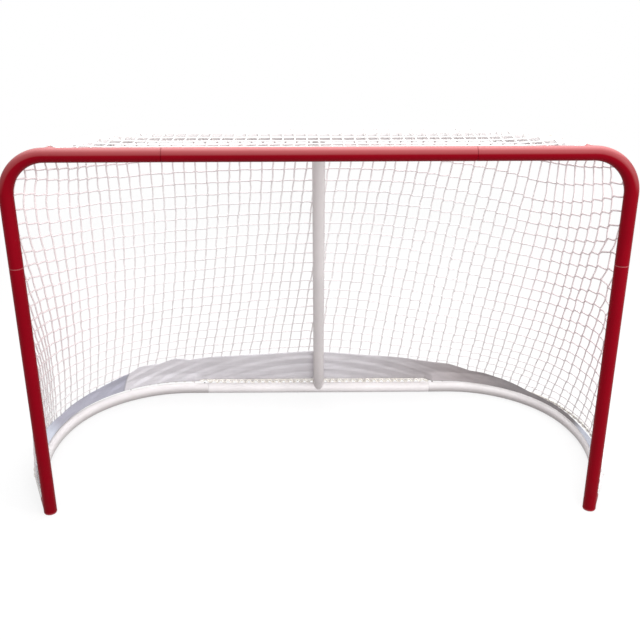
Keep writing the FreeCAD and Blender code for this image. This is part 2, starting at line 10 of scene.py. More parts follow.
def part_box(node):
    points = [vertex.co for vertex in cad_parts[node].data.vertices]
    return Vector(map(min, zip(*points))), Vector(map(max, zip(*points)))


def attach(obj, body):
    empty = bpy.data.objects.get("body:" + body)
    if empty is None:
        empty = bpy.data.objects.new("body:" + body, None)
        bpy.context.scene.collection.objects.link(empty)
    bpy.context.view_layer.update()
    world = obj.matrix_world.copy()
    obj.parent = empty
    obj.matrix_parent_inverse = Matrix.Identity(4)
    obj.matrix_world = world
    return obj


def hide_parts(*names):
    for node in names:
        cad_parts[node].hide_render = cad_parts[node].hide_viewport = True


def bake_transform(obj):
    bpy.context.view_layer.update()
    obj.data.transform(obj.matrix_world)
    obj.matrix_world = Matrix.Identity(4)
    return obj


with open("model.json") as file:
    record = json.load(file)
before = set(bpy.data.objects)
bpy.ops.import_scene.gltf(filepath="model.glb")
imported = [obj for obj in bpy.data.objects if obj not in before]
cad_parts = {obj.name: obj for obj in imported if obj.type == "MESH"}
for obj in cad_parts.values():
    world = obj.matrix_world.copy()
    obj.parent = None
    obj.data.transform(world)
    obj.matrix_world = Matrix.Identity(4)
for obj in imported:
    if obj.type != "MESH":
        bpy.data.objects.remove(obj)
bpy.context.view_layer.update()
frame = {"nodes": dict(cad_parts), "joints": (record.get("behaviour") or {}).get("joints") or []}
nodes = frame["nodes"]
print("frame loaded, nodes:", len(nodes))


def middleOf(node):
    low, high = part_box(node)
    return (low + high) / 2


def radiusOf(node):
    low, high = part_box(node)
    return (high.z - low.z) / 2


# Cut off below 0 and above 1
def share(value):
    return min(1.0, max(0.0, value))


# A share that starts and ends level
def smooth(value):
    return value * value * (3 - 2 * value)


# Camera, at the photograph's viewpoint
viewpoint = {
    "place": (-0.0197, -2.998, 1.7412),
    "lookDown": 22.01,        # degrees
    "turnRight": 0.45,
    "roll": -0.14,
    "focalPixels": 863.6,
    "imagePixels": 640,
    "sensor": 36.0,           # millimetres
    "nearest": 0.05,
    "farthest": 200,
}


def makeCamera():
    down, turn, roll = (math.radians(viewpoint[key]) for key in ("lookDown", "turnRight", "roll"))
    level = math.cos(down)
    forward = Vector((math.sin(turn) * level, math.cos(turn) * level, -math.sin(down)))
    right = Vector((math.cos(turn), -math.sin(turn), 0))
    up = right.cross(forward)
    tiltedRight = right * math.cos(roll) + up * math.sin(roll)
    tiltedUp = up * math.cos(roll) - right * math.sin(roll)
    placing = Matrix((tiltedRight, tiltedUp, -forward)).transposed().to_4x4()
    placing.translation = viewpoint["place"]
    data = bpy.data.cameras.new("photoCamera")
    data.sensor_width = viewpoint["sensor"]
    data.lens = viewpoint["sensor"] * viewpoint["focalPixels"] / viewpoint["imagePixels"]
    data.clip_start, data.clip_end = viewpoint["nearest"], viewpoint["farthest"]
    camera = bpy.data.objects.new("photoCamera", data)
    camera.matrix_world = placing
    bpy.context.scene.collection.objects.link(camera)
    bpy.context.scene.camera = camera


makeCamera()
print("camera placed")


# Shader building: inputs are sockets to link or plain values
def addNode(tree, kind, inputs=None, **settings):
    node = tree.nodes.new(kind)
    for key, value in settings.items():
        setattr(node, key, value)
    for key, value in (inputs or {}).items():
        if isinstance(value, bpy.types.NodeSocket):
            tree.links.new(value, node.inputs[key])
        else:
            node.inputs[key].default_value = value
    return node


def calc(tree, operation, first, second=0.0, third=0.0, clamp=False):
    return addNode(tree, "ShaderNodeMath", {0: first, 1: second, 2: third}, operation=operation,
                   use_clamp=clamp).outputs[0]


def mixColours(tree, amount, first, second, blend="MIX"):
    node = addNode(tree, "ShaderNodeMix", {0: amount, 6: first, 7: second}, data_type="RGBA",
                   blend_type=blend)
    return node.outputs[2]


def noiseAt(tree, place, scale, detail=2.0, roughness=0.5):
    return addNode(tree, "ShaderNodeTexNoise", {"Vector": place, "Scale": scale, "Detail": detail,
                                                "Roughness": roughness}).outputs["Fac"]


def splitAxes(tree, vector):
    return addNode(tree, "ShaderNodeSeparateXYZ", {0: vector}).outputs


def greyOf(tree, shade):
    return addNode(tree, "ShaderNodeCombineColor", {0: shade, 1: shade, 2: shade}).outputs[0]


# Stretch a value from low..high to newLow..newHigh, clamped
def spread(tree, value, low, high, newLow=0.0, newHigh=1.0):
    return addNode(tree, "ShaderNodeMapRange", {"Value": value, "From Min": low, "From Max": high,
                                                "To Min": newLow, "To Max": newHigh}).outputs["Result"]


def startGroup(name, inputs, outputs):
    group = bpy.data.node_groups.new(name, "ShaderNodeTree")
    for label, default in inputs.items():
        kind = "NodeSocketColor" if isinstance(default, tuple) else "NodeSocketFloat"
        socket = group.interface.new_socket(name=label, in_out="INPUT", socket_type=kind)
        socket.default_value = default
    for label, kind in outputs.items():
        group.interface.new_socket(name=label, in_out="OUTPUT", socket_type=kind)
    given = group.nodes.new("NodeGroupInput").outputs
    put = group.nodes.new("NodeGroupOutput").inputs
    return group, given, put


# Powder coat on a tube: cloudy colour, fine peel, scuffs and dust that gathers low down, plus a painted
# highlight on the upper side and painted shade on the under side
def makePaintGroup():
    group, given, put = startGroup(
        "paintedTube",
        {"Colour": (1, 1, 1, 1), "Scuff Colour": (1, 1, 1, 1), "Dust Colour": (0.5, 0.5, 0.5, 1),
         "Painted Highlight Colour": (1, 1, 1, 1), "Underside Shade Colour": (0.5, 0.5, 0.5, 1), "Scuffs": 0.3, "Dust": 0.2,
         "Film": 0.0, "Under": 0.0, "Roughness": 0.4, "Peel": 1.0},
        {"Colour": "NodeSocketColor", "Roughness": "NodeSocketFloat", "Height": "NodeSocketFloat"})
    place = group.nodes.new("ShaderNodeTexCoord").outputs["Object"]
    clouds = noiseAt(group, place, 5.0, 4.0)
    peel = noiseAt(group, place, 900.0, 1.0)
    streaks = addNode(group, "ShaderNodeMapping", {"Vector": place, "Scale": (30.0, 30.0, 160.0)})
    scratch = noiseAt(group, streaks.outputs[0], 1.0, 5.0, 0.7)
    scuffs = calc(group, "MULTIPLY", spread(group, scratch, 0.66, 0.74), given["Scuffs"])
    low = spread(group, splitAxes(group, place)["Z"], 0.0, 0.35, 1.0, 0.0)
    grime = spread(group, noiseAt(group, place, 22.0, 5.0, 0.65), 0.42, 0.72)
    grime = calc(group, "MULTIPLY", grime, low)
    grime = calc(group, "MULTIPLY", grime, given["Dust"])
    shade = spread(group, clouds, 0.3, 0.7, 0.93, 1.05)
    colour = mixColours(group, 1.0, given["Colour"], greyOf(group, shade), "MULTIPLY")
    # A painted highlight: a paler colour on the upper side; and painted shade: a darker colour on the
    # under side
    upward = splitAxes(group, group.nodes.new("ShaderNodeNewGeometry").outputs["Normal"])["Z"]
    paintedHighlight = calc(group, "ADD", spread(group, upward, 0.02, 0.14, 0.0, 0.15),
                spread(group, upward, 0.14, 0.55, 0.0, 0.20))
    paintedHighlight = calc(group, "ADD", paintedHighlight, spread(group, upward, 0.55, 0.95, 0.0, 0.65))
    paintedHighlight = calc(group, "MULTIPLY", paintedHighlight, given["Film"])
    colour = mixColours(group, paintedHighlight, colour, given["Painted Highlight Colour"])
    # Painted shade: darker towards the under side
    under = calc(group, "MULTIPLY", spread(group, upward, 0.75, -0.10), given["Under"])
    colour = mixColours(group, under, colour, given["Underside Shade Colour"])
    colour = mixColours(group, scuffs, colour, given["Scuff Colour"])
    colour = mixColours(group, grime, colour, given["Dust Colour"])
    group.links.new(colour, put["Colour"])
    rough = calc(group, "ADD", given["Roughness"], calc(group, "MULTIPLY", scuffs, 0.3))
    rough = calc(group, "ADD", rough, spread(group, clouds, 0.3, 0.7, -0.04, 0.04))
    group.links.new(calc(group, "ADD", rough, calc(group, "MULTIPLY", grime, 0.4), clamp=True),
                    put["Roughness"])
    bumps = calc(group, "SUBTRACT", calc(group, "MULTIPLY", peel, given["Peel"]),
                 calc(group, "MULTIPLY", scuffs, 0.6))
    group.links.new(bumps, put["Height"])
    return group


# Twisted twine: slanted strands along the cord, patchy soiling and a little fuzz, with painted shade in
# the grooves
def makeCordGroup():
    group, given, put = startGroup(
        "twistedTwine",
        {"Colour": (1, 1, 1, 1), "Groove Shade Colour": (0.5, 0.5, 0.5, 1),
         "Soil Colour": (0.5, 0.5, 0.5, 1), "Rub Colour": (0.5, 0.2, 0.2, 1), "Soil": 0.3, "Rub": 0.0,
         "Twist": 420.0},
        {"Colour": "NodeSocketColor", "Roughness": "NodeSocketFloat", "Height": "NodeSocketFloat"})
    place = group.nodes.new("ShaderNodeTexCoord").outputs["Object"]
    turned = addNode(group, "ShaderNodeMapping", {"Vector": place, "Rotation": (0.6, 0.4, 0.8)})
    wave = addNode(group, "ShaderNodeTexWave",
                   {"Vector": turned.outputs[0], "Scale": given["Twist"], "Distortion": 1.5,
                    "Detail": 1.0}).outputs["Fac"]
    soil = spread(group, noiseAt(group, place, 6.0, 4.0, 0.6), 0.4, 0.7)
    soil = calc(group, "MULTIPLY", soil, given["Soil"])
    # Painted shade: the twist's grooves, where the bump is low, are darker
    colour = mixColours(group, spread(group, wave, 0.55, 0.05, 0.0, 0.7), given["Colour"],
                        given["Groove Shade Colour"])
    colour = mixColours(group, soil, colour, given["Soil Colour"])
    # Red paint rubbed off the frame, near the crossbar and the posts
    axes = splitAxes(group, place)
    sideways = calc(group, "ABSOLUTE", axes["X"])
    nearBar = spread(group, axes["Z"], 1.02, 1.24)
    nearPost = calc(group, "MULTIPLY", spread(group, sideways, 0.62, 1.0),
                    spread(group, axes["Z"], 0.15, 0.55))
    rub = calc(group, "MULTIPLY", calc(group, "MAXIMUM", nearBar, nearPost), given["Rub"])
    group.links.new(mixColours(group, rub, colour, given["Rub Colour"]), put["Colour"])
    fuzz = noiseAt(group, place, 1500.0, 2.0)
    group.links.new(calc(group, "MULTIPLY_ADD", fuzz, 0.25, wave), put["Height"])
    group.links.new(spread(group, fuzz, 0.3, 0.7, 0.72, 0.9), put["Roughness"])
    return group


# Plain-woven cloth in panels, with damp or faded patches. UV X is the distance round the goal
def makeClothGroup():
    group, given, put = startGroup(
        "wovenCloth",
        {"Colour": (1, 1, 1, 1), "Left Colour": (1, 1, 1, 1), "Right Colour": (1, 1, 1, 1),
         "Far Right Colour": (1, 1, 1, 1), "End Colour": (1, 1, 1, 1), "Left Seam": -0.83,
         "Seam Lean": 0.0, "Threads": 260.0},
        {"Colour": "NodeSocketColor", "Roughness": "NodeSocketFloat", "Height": "NodeSocketFloat"})
    uv = group.nodes.new("ShaderNodeTexCoord").outputs["UV"]
    axes = splitAxes(group, uv)
    around, up = axes["X"], axes["Y"]
    turns = calc(group, "MULTIPLY", given["Threads"], 2 * math.pi)
    weave = calc(group, "MULTIPLY", calc(group, "SINE", calc(group, "MULTIPLY", around, turns)),
                 calc(group, "SINE", calc(group, "MULTIPLY", up, turns)))
    fade = noiseAt(group, uv, 9.0, 4.0, 0.6)
    creases = addNode(group, "ShaderNodeMapping", {"Vector": uv, "Rotation": (0, 0, 0.25),
                                                   "Scale": (7.0, 60.0, 1.0)})
    crease = noiseAt(group, creases.outputs[0], 1.0, 4.0, 0.6)
    seam = calc(group, "MULTIPLY_ADD", up, given["Seam Lean"], given["Left Seam"])
    fromSeam = calc(group, "SUBTRACT", around, seam)
    colour = mixColours(group, spread(group, around, 0.08, 0.62), given["Colour"],
                        given["Right Colour"])
    colour = mixColours(group, spread(group, around, 0.60, 0.88), colour, given["Far Right Colour"])
    colour = mixColours(group, spread(group, fromSeam, 0.004, -0.004), colour, given["Left Colour"])
    toEnd = spread(group, calc(group, "ABSOLUTE", around), 1.25, 1.34)
    colour = mixColours(group, toEnd, colour, given["End Colour"])
    # Painted shade: the colour darkens in the creases and between the threads, where the bump is low;
    # the faded patches are random tone
    shade = calc(group, "MULTIPLY", spread(group, fade, 0.3, 0.7, 0.94, 1.04),
                 spread(group, crease, 0.35, 0.65, 0.93, 1.05))
    shade = calc(group, "MULTIPLY", shade, spread(group, weave, -1.0, 1.0, 0.94, 1.05))
    seamShade = spread(group, calc(group, "ABSOLUTE", fromSeam), 0.002, 0.006, 0.75, 1.0)
    shade = calc(group, "MULTIPLY", shade, seamShade)
    group.links.new(mixColours(group, 1.0, colour, greyOf(group, shade), "MULTIPLY"), put["Colour"])
    group.links.new(spread(group, fade, 0.3, 0.7, 0.7, 0.85), put["Roughness"])
    group.links.new(calc(group, "MULTIPLY_ADD", weave, 0.12, calc(group, "MULTIPLY", crease, 4.0)),
                    put["Height"])
    return group


paintedTube = makePaintGroup()
twistedTwine = makeCordGroup()
wovenCloth = makeClothGroup()


# A material whose colour, roughness and bump come from one of the shared effects
def finishMaterial(name, group, groupValues, bumpStrength, bumpDistance, shaderValues):
    material = bpy.data.materials.new(name)
    material.use_nodes = True
    tree = material.node_tree
    shader = tree.nodes["Principled BSDF"]
    for key, value in shaderValues.items():
        shader.inputs[key].default_value = value
    effect = addNode(tree, "ShaderNodeGroup", node_tree=group)
    for key, value in groupValues.items():
        effect.inputs[key].default_value = value
    tree.links.new(effect.outputs["Colour"], shader.inputs["Base Color"])
    tree.links.new(effect.outputs["Roughness"], shader.inputs["Roughness"])
    bump = addNode(tree, "ShaderNodeBump", {"Strength": bumpStrength, "Distance": bumpDistance,
                                            "Height": effect.outputs["Height"]})
    tree.links.new(bump.outputs[0], shader.inputs["Normal"])
    return material


# Paint and metal of the frame. Colours are linear
whitePaint = {"Scuff Colour": (0.55, 0.50, 0.50, 1), "Dust Colour": (0.50, 0.43, 0.43, 1),
              "Scuffs": 0.35, "Dust": 0.12, "Roughness": 0.40, "Peel": 1.0}
finishes = {
    "frame_red": {
        "paint": {"Colour": (0.205, 0.0004, 0.0062, 1), "Scuff Colour": (0.17, 0.005, 0.010, 1),
                  # The paler pink on the upper side is a painted highlight
                  "Dust Colour": (0.16, 0.008, 0.012, 1), "Painted Highlight Colour": (0.48, 0.187, 0.19, 1),
                  "Scuffs": 0.3, "Dust": 0.35, "Film": 1.0, "Roughness": 0.34, "Peel": 1.0},
        "bump": (0.12, 0.0004),
        "shader": {"Specular IOR Level": 0.05},
    },
    "frame_white": {
        "paint": {**whitePaint, "Colour": (0.86, 0.83, 0.835, 1)},
        "bump": (0.12, 0.0004),
        "shader": {"Specular IOR Level": 0.3},
    },
    # The base's side tubes: a slightly darker copy of the white paint, with painted shade on their
    # under sides
    "shaded_side_white": {            # the base's side tubes
        "paint": {**whitePaint, "Colour": (0.84, 0.81, 0.815, 1),
                  "Underside Shade Colour": (0.38, 0.35, 0.345, 1), "Under": 0.55},
        "bump": (0.12, 0.0004),
        "shader": {"Specular IOR Level": 0.3},
    },
    "support_white": {         # the centre post and its stubs
        "paint": {"Colour": (0.70, 0.665, 0.665, 1), "Scuff Colour": (0.60, 0.57, 0.57, 1),
                  "Dust Colour": (0.45, 0.40, 0.40, 1), "Scuffs": 0.3, "Dust": 0.3, "Roughness": 0.45,
                  "Peel": 1.0},
        "bump": (0.12, 0.0004),
        "shader": {"Specular IOR Level": 0.3},
    },
    "rod_white": {
        "paint": {"Colour": (0.76, 0.73, 0.74, 1), "Scuff Colour": (0.45, 0.42, 0.41, 1),
                  "Dust Colour": (0.45, 0.40, 0.38, 1), "Scuffs": 0.6, "Dust": 0.5, "Roughness": 0.45,
                  "Peel": 1.0},
        "bump": (0.12, 0.0003),
        "shader": {},
    },
    "foot_cap": {
        "paint": {"Colour": (0.30, 0.004, 0.012, 1), "Scuff Colour": (0.18, 0.03, 0.03, 1),
                  "Dust Colour": (0.2, 0.05, 0.05, 1), "Scuffs": 0.8, "Dust": 0.8, "Roughness": 0.55,
                  "Peel": 2.0},
        "bump": (0.2, 0.0005),
        "shader": {},
    },
    "button_steel": {
        "paint": {"Colour": (0.20, 0.19, 0.19, 1), "Scuff Colour": (0.42, 0.41, 0.40, 1),
                  "Dust Colour": (0.10, 0.07, 0.05, 1), "Scuffs": 0.8, "Dust": 0.4, "Roughness": 0.38,
                  "Peel": 0.5},
        "bump": (0.1, 0.0002),
        "shader": {"Metallic": 1.0},
    },
    "spring_steel": {
        "paint": {"Colour": (0.35, 0.34, 0.33, 1), "Scuff Colour": (0.5, 0.49, 0.48, 1),
                  "Dust Colour": (0.15, 0.10, 0.07, 1), "Scuffs": 0.5, "Dust": 0.3, "Roughness": 0.35,
                  "Peel": 0.5},
        "bump": (0.1, 0.0002),
        "shader": {"Metallic": 1.0},
    },
}


def paintFrame():
    made = {slot: finishMaterial(slot + "_finish", paintedTube, look["paint"], *look["bump"],
                                 look["shader"])
            for slot, look in finishes.items()}
    for name, node in nodes.items():
        slot = node.data.materials[0].name.split(".")[0]
        if name.startswith("centre_") and slot == "frame_white":
            slot = "support_white"
        # The base's side tubes take the shaded copy of the white paint: painted shade
        if name.startswith("base_side_") and slot == "frame_white":
            slot = "shaded_side_white"
        if slot in made:
            node.material_slots[0].material = made[slot]
            for face in node.data.polygons:
                face.material_index = 0
    return made


frameFinishes = paintFrame()
print("frame painted")


# A new smooth-shaded mesh in the scene
def meshObject(name, vertices, faces):
    mesh = bpy.data.meshes.new(name)
    mesh.from_pydata([tuple(v) for v in vertices], [], faces)
    mesh.polygons.foreach_set("use_smooth", [True] * len(mesh.polygons))
    mesh.update()
    made = bpy.data.objects.new(name, mesh)
    bpy.context.scene.collection.objects.link(made)
    return made


# The leaf springs inside the joints, each a piece of its own
def makeSprings():
    strips = nodes["button_springs"].data
    ways = {joint["child"]: Vector(joint["axis"]) for joint in frame["joints"]}
    middles = {button: middleOf(button) for button in ways}
    facesOf = {button: [] for button in ways}
    for face in strips.polygons:
        nearest = min(middles, key=lambda button: (middles[button] - face.center).length)
        facesOf[nearest].append(face)
    for button, faces in facesOf.items():
        used = sorted({index for face in faces for index in face.vertices})
        order = {index: k for k, index in enumerate(used)}
        places = [strips.vertices[index].co.copy() for index in used]
        spring = meshObject("spring_" + button, places,
                            [tuple(order[index] for index in face.vertices) for face in faces])
        spring.data.polygons.foreach_set("use_smooth", [False] * len(faces))
        spring.data.materials.append(frameFinishes["spring_steel"])
        depths = [place.dot(ways[button]) for place in places]
        foot = places[depths.index(max(depths))]
        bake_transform(spring)
        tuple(foot)
        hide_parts("button_springs")
    print("springs fitted:", len(facesOf))


makeSprings()


# Where the net hangs: the tubes' own lines, read from the frame, and their bends
post = middleOf("post_right")
crossbar = middleOf("crossbar")
baseRear = middleOf("base_rear")
shelfRear = middleOf("shelf_rear")
shelfRadius = radiusOf("shelf_rear")
rodLine = middleOf("crossbar_rod")

tubeBends = {
    "cornerRadius": 0.125,
    "baseStraight": 0.5679,
    "baseBends": ((0.472, 72.41), (0.650, 41.59)),   # radius, degrees
    "baseEnd": 0.096,
    "shelfStraight": 0.4680,
    "shelfBends": ((0.300, 63.0),),
    "shelfEnd": 0.1415,
    "rodReach": 0.0216,        # from the base tube's axis out to its rod
    "rodRise": 0.02574,        # and up to it
    "rodRadius": 0.003175,
}


# Half a tube's line seen from above, moved outwards by offset: points and headings
def planLine(startY, straight, bends, end, offset, step=0.005):
    arcs = [(0.0, radius + offset, math.radians(turn)) for radius, turn in bends]
    runs = [(straight, 0.0, 0.0)] + arcs + [(end, 0.0, 0.0)]
    points, headings, heading = [np.array((0.0, startY + offset))], [0.0], 0.0
    for length, radius, turn in runs:
        reach = length or radius * turn
        count = max(1, math.ceil(reach / step))
        for k in range(count):
            mid = heading + turn * (k + 0.5) / count
            chord = length / count if length else 2 * radius * math.sin(turn / count / 2)
            points.append(points[-1] + chord * np.array((math.cos(mid), -math.sin(mid))))
            headings.append(heading + turn * (k + 1) / count)
        heading += turn
    return np.array(points), np.array(headings)


# The same for the shelf's tube, which goes on straight by extra
def shelfLine(offset, extra=0.0, step=0.005):
    bends = tubeBends
    return planLine(shelfRear.y, bends["shelfStraight"], bends["shelfBends"], bends["shelfEnd"] + extra,
                    offset, step)


def lengthsAlong(points):
    return np.concatenate(([0.0], np.cumsum(np.linalg.norm(np.diff(points, axis=0), axis=1))))


# The net. Its surface is measured round the goal from the rear middle, and up from the floor
netHang = {
    "lowest": 0.0535,          # height of the edge laced to the base's rod
    "edgeBehindRod": 0.005,    # how far behind the post's rod the net's edge runs
    "shelfGap": 0.002,         # between the net and the shelf's tube
    "shelfRise": 0.5,          # how far up the shelf's tube the rear net reaches, in its radii
    "blendFrom": 0.62,         # share of the way round where the side starts to close on the post
}


# Level sections of the net, as arrays of the distance round and the places
def makeNetSurface(levels=64, around=180):
    bends = tubeBends
    base, baseTurn = planLine(baseRear.y, bends["baseStraight"], bends["baseBends"], bends["baseEnd"],
                              bends["rodReach"])
    frontY = rodLine.y + netHang["edgeBehindRod"]
    base = np.vstack((base, (post.x, frontY)))
    baseTurn = np.append(baseTurn, baseTurn[-1])
    shelfReach = shelfRadius + netHang["shelfGap"]
    shelf = shelfLine(shelfReach)[0]
    baseLength, shelfLength = lengthsAlong(base), lengthsAlong(shelf)
    # The places where base and shelf head the same way are joined by the net
    shelfBendRadius, shelfTurn = bends["shelfBends"][0]
    turn = math.radians(shelfTurn)
    bent = baseLength >= bends["baseStraight"] - 1e-6
    baseBent = np.interp(turn, baseTurn[bent], baseLength[bent])
    baseMarks = [0, bends["baseStraight"], baseBent, baseLength[-1]]
    shelfBent = bends["shelfStraight"] + (shelfBendRadius + shelfReach) * turn
    shelfMarks = [0, bends["shelfStraight"], shelfBent, shelfLength[-1]]
    wayRound = np.linspace(0, 1, around)
    baseAt = wayRound * baseLength[-1]
    shelfAt = np.interp(baseAt, baseMarks, shelfMarks)
    low = np.column_stack([np.interp(baseAt, baseLength, base[:, k]) for k in (0, 1)])
    high = np.column_stack([np.interp(shelfAt, shelfLength, shelf[:, k]) for k in (0, 1)])
    zLow = baseRear.z + bends["rodRise"]
    zHigh = shelfRear.z + netHang["shelfRise"] * shelfRadius
    weight = np.clip((wayRound - netHang["blendFrom"]) / (1 - netHang["blendFrom"]), 0, 1)
    weight = smooth(weight)
    heights = np.linspace(zLow, zHigh, levels)
    sections = []
    for z in heights:
        line = low + (high - low) * ((z - zLow) / (zHigh - zLow))
        above = share((z - crossbar.z) / bends["cornerRadius"] + 1)
        endX = post.x - bends["cornerRadius"] * (1 - math.sqrt(1 - above * above))
        line = line + np.outer(weight, (endX - line[-1, 0], frontY - line[-1, 1]))
        sections.append((lengthsAlong(line), line))
    return heights, sections


netHeights, netSections = makeNetSurface()
netTop = netHeights[-1]


def levelOf(z):
    position = (z - netHeights[0]) / (netHeights[-1] - netHeights[0]) * (len(netHeights) - 1)
    k = int(min(len(netHeights) - 2, max(0, math.floor(position))))
    return k, position - k


# Distance from the rear middle round to the post, at a height
def halfRound(z):
    k, part = levelOf(z)
    return netSections[k][0][-1] * (1 - part) + netSections[k + 1][0][-1] * part


# A place on the net's surface, and how far outside it
def netPoint(around, z, outwards=0.0):
    k, part = levelOf(z)
    distance = abs(around)
    found = []
    for lengths, line in (netSections[k], netSections[k + 1]):
        i = int(min(len(lengths) - 2, max(0, np.searchsorted(lengths, distance) - 1)))
        along = (distance - lengths[i]) / (lengths[i + 1] - lengths[i])
        way = line[i + 1] - line[i]
        found.append((line[i] + way * along, way / np.linalg.norm(way)))
    place = found[0][0] * (1 - part) + found[1][0] * part
    way = found[0][1] * (1 - part) + found[1][1] * part
    side = -1.0 if around < 0 else 1.0
    return Vector((side * (place[0] - way[1] * outwards), place[1] + way[0] * outwards, z))


# How the mesh hangs: columns numbered from the middle to the right, rows from the top down.
# Pairs of values are for the left and the right half, unless a note says otherwise
netMesh = {
    "twine": 0.0056,           # diameter
    "knot": 0.0082,
    "columnPitch": (0.0383, 0.0385),      # left and right of the middle, at the top
    "columnSqueeze": (0.0001, 0.0006),    # how the columns crowd towards the top corners
    "squeezeFrom": 18,
    "lastTopColumn": 28,
    "sidePitch": (0.0400, 0.0490),        # columns beyond that one, which start at the post
    "gather": (0.55, 0.0),     # how much closer together those columns are drawn lower down
    "gatherFrom": (0.85, 0.45),           # between these heights
    "lastColumn": 50,          # columns are tried up to this one, and cut off at the posts
    "drift": -0.119,           # how far the middle column goes to the side on its way down
    "driftPerColumn": (0.0005, 0.0043),
    "driftCurve": (14, 0.0005),           # and more from this column on
    "courseBlend": (-8, 5),    # the left course turns into the right one between these columns
    "leftCourse": (0.534, 0.831),         # how the drift grows with the depth and its square
    "rightCourse": (1.323, -0.202),
    "bulgeFrom": 20,           # outer columns bulge towards the posts
    "bulge": (0.0084, 0.0073),
    "bulgeDepth": 0.25,
    "tuckFrom": 18,            # and draw in again lower down
    "tuck": (0.0026, 0.0087),
    "topOfDrift": 1.15,        # depths count from this height
    "leastDepth": -0.05,
    "rowPitch": 0.0448,
    "firstRow": 1.1535,        # height of row 0 at the middle
    "rows": (-2, 25),
    "guess": 0.7,              # height from which a column's crossing with a row is sought
    "slack": 0.0022,           # how far a strand may bow between its knots
    "stray": 0.0016,           # how far a knot may sit from its place
    "knotStep": (0.0030, 0.0065),         # how far up or down its knot a level strand may start
    "knotShare": (0.35, 0.48),            # how much of a row's slope the knots take up
    "knotReach": 0.07,         # share of a mesh that a knot takes on each side
    "knotSize": (0.9, 1.1),    # times the knot's diameter
    "knotFlat": 0.85,
    "crease": (0.77, 0.03, 0.010),        # a pucker under the crossbar: where, how wide and deep
    "pull": (0.004, 0.012),    # how far the lacing draws the knots by the posts to and fro
    "pullReach": 0.22,         # over this distance from the post
    "pullFrom": (0.15, 0.95),  # and between these heights
}
# The rows. Pairs of values are for the top row and the change down to the lowest one
rowSag = {
    # Each side dips by "dip" on its way out to "at", the more in the last part the larger "late"
    # is, and beyond that it rises and curls up towards the post
    "left": {"at": (0.654, 0.535, 3.08), "dip": (0.0173, 0.0746), "late": (1.53, -0.62),
             "rise": 0.084, "curl": (0.21, 0.18)},
    "right": {"at": (0.782, 0.434, 6.1), "dip": (0.0907, 0.0974), "late": (1.69, -0.80),
              "rise": 0.035, "curl": (0.74, -0.66)},
    "leastLate": 0.15,
    "span": 0.8,               # height from the second row to the lowest
    "riseTo": 1.16,            # distance round where the rise ends
    "topFade": 0.14,           # the top rows straighten over this height
    "creaseDown": 0.2,         # the pucker fades over this share of the span
    "fall": (0.105, 0.50),     # by the right post the rows drop: from how far off, and how steeply
    "fallFrom": (0.25, 0.92),  # between these heights
    "fallEase": (0.10, 0.15),  # over these heights at the foot and at the top
}


def topColumn(i):
    side = 1 if i > 0 else 0
    crowd = max(0, abs(i) - netMesh["squeezeFrom"])
    reach = netMesh["columnPitch"][side] * abs(i) - netMesh["columnSqueeze"][side] * crowd ** 2
    return math.copysign(reach, i)


# Distance round the goal of column i at height z
def columnAround(i, z):
    side = 1 if i > 0 else 0
    inner = max(-netMesh["lastTopColumn"], min(netMesh["lastTopColumn"], i))
    depth = max(netMesh["leastDepth"], netMesh["topOfDrift"] - z)
    start, curve = netMesh["driftCurve"]
    drift = netMesh["drift"] + netMesh["driftPerColumn"][side] * inner
    drift += curve * max(0, inner - start) ** 2
    first, last = netMesh["courseBlend"]
    blend = share((inner - first) / (last - first))
    leftCourse, rightCourse = (a * depth + b * depth * depth
                               for a, b in (netMesh["leftCourse"], netMesh["rightCourse"]))
    course = leftCourse * (1 - blend) + rightCourse * blend
    bump = max(0.0, depth) / netMesh["bulgeDepth"]
    bulge = netMesh["bulge"][side] * max(0, abs(inner) - netMesh["bulgeFrom"])
    bulge *= bump * math.exp(1 - bump)
    tuck = netMesh["tuck"][side] * max(0, abs(inner) - netMesh["tuckFrom"]) * depth * depth
    around = topColumn(inner) + drift * course + (bulge - tuck) * (1 if inner > 0 else -1)
    high, low = netMesh["gatherFrom"]
    drawn = netMesh["gather"][side] * share((high - z) / (high - low))
    return around + (i - inner) * netMesh["sidePitch"][side] * (1 - drawn)


# Height of row j at a distance round the goal
def rowHeight(j, around):
    level = netMesh["firstRow"] - netMesh["rowPitch"] * j
    t = share((netMesh["firstRow"] - netMesh["rowPitch"] - level) / rowSag["span"])
    sag = rowSag["left" if around < 0 else "right"]
    at = sag["at"][0] + sag["at"][1] * t ** sag["at"][2]
    dip = sag["dip"][0] + sag["dip"][1] * t
    late = max(rowSag["leastLate"], sag["late"][0] + sag["late"][1] * t)
    drop = dip * smooth(min(1.0, abs(around) / at) ** late)
    past = max(0.0, min(rowSag["riseTo"], abs(around)) - at)
    curl = sag["curl"][0] + sag["curl"][1] * t
    rise = sag["rise"] * (1 - 2 * t) ** 2 * past + curl * past * past
    fade = share((netTop - level) / rowSag["topFade"])
    where, width, depth = netMesh["crease"]
    pucker = depth * math.exp(-((around - where) / width) ** 2)
    pucker *= math.exp(-(t / rowSag["creaseDown"]) ** 2)
    low, high = rowSag["fallFrom"]
    easeLow, easeHigh = rowSag["fallEase"]
    start, steepness = rowSag["fall"]
    nearPost = max(0.0, around - halfRound(min(netTop, max(netHeights[0], level))) + start)
    fall = steepness * nearPost * share((high - level) / easeHigh) * share((level - low) / easeLow)
    return level + (rise - drop - pucker) * fade - fall


# Where column i and row j cross, found in a few rounds
def meshNode(i, j):
    around = columnAround(i, netMesh["guess"])
    for attempt in range(6):
        z = rowHeight(j, around)
        around = columnAround(i, min(netTop, z))
    return around, z


def inNet(around, z):
    return netHang["lowest"] <= z <= netTop and abs(around) <= halfRound(z)


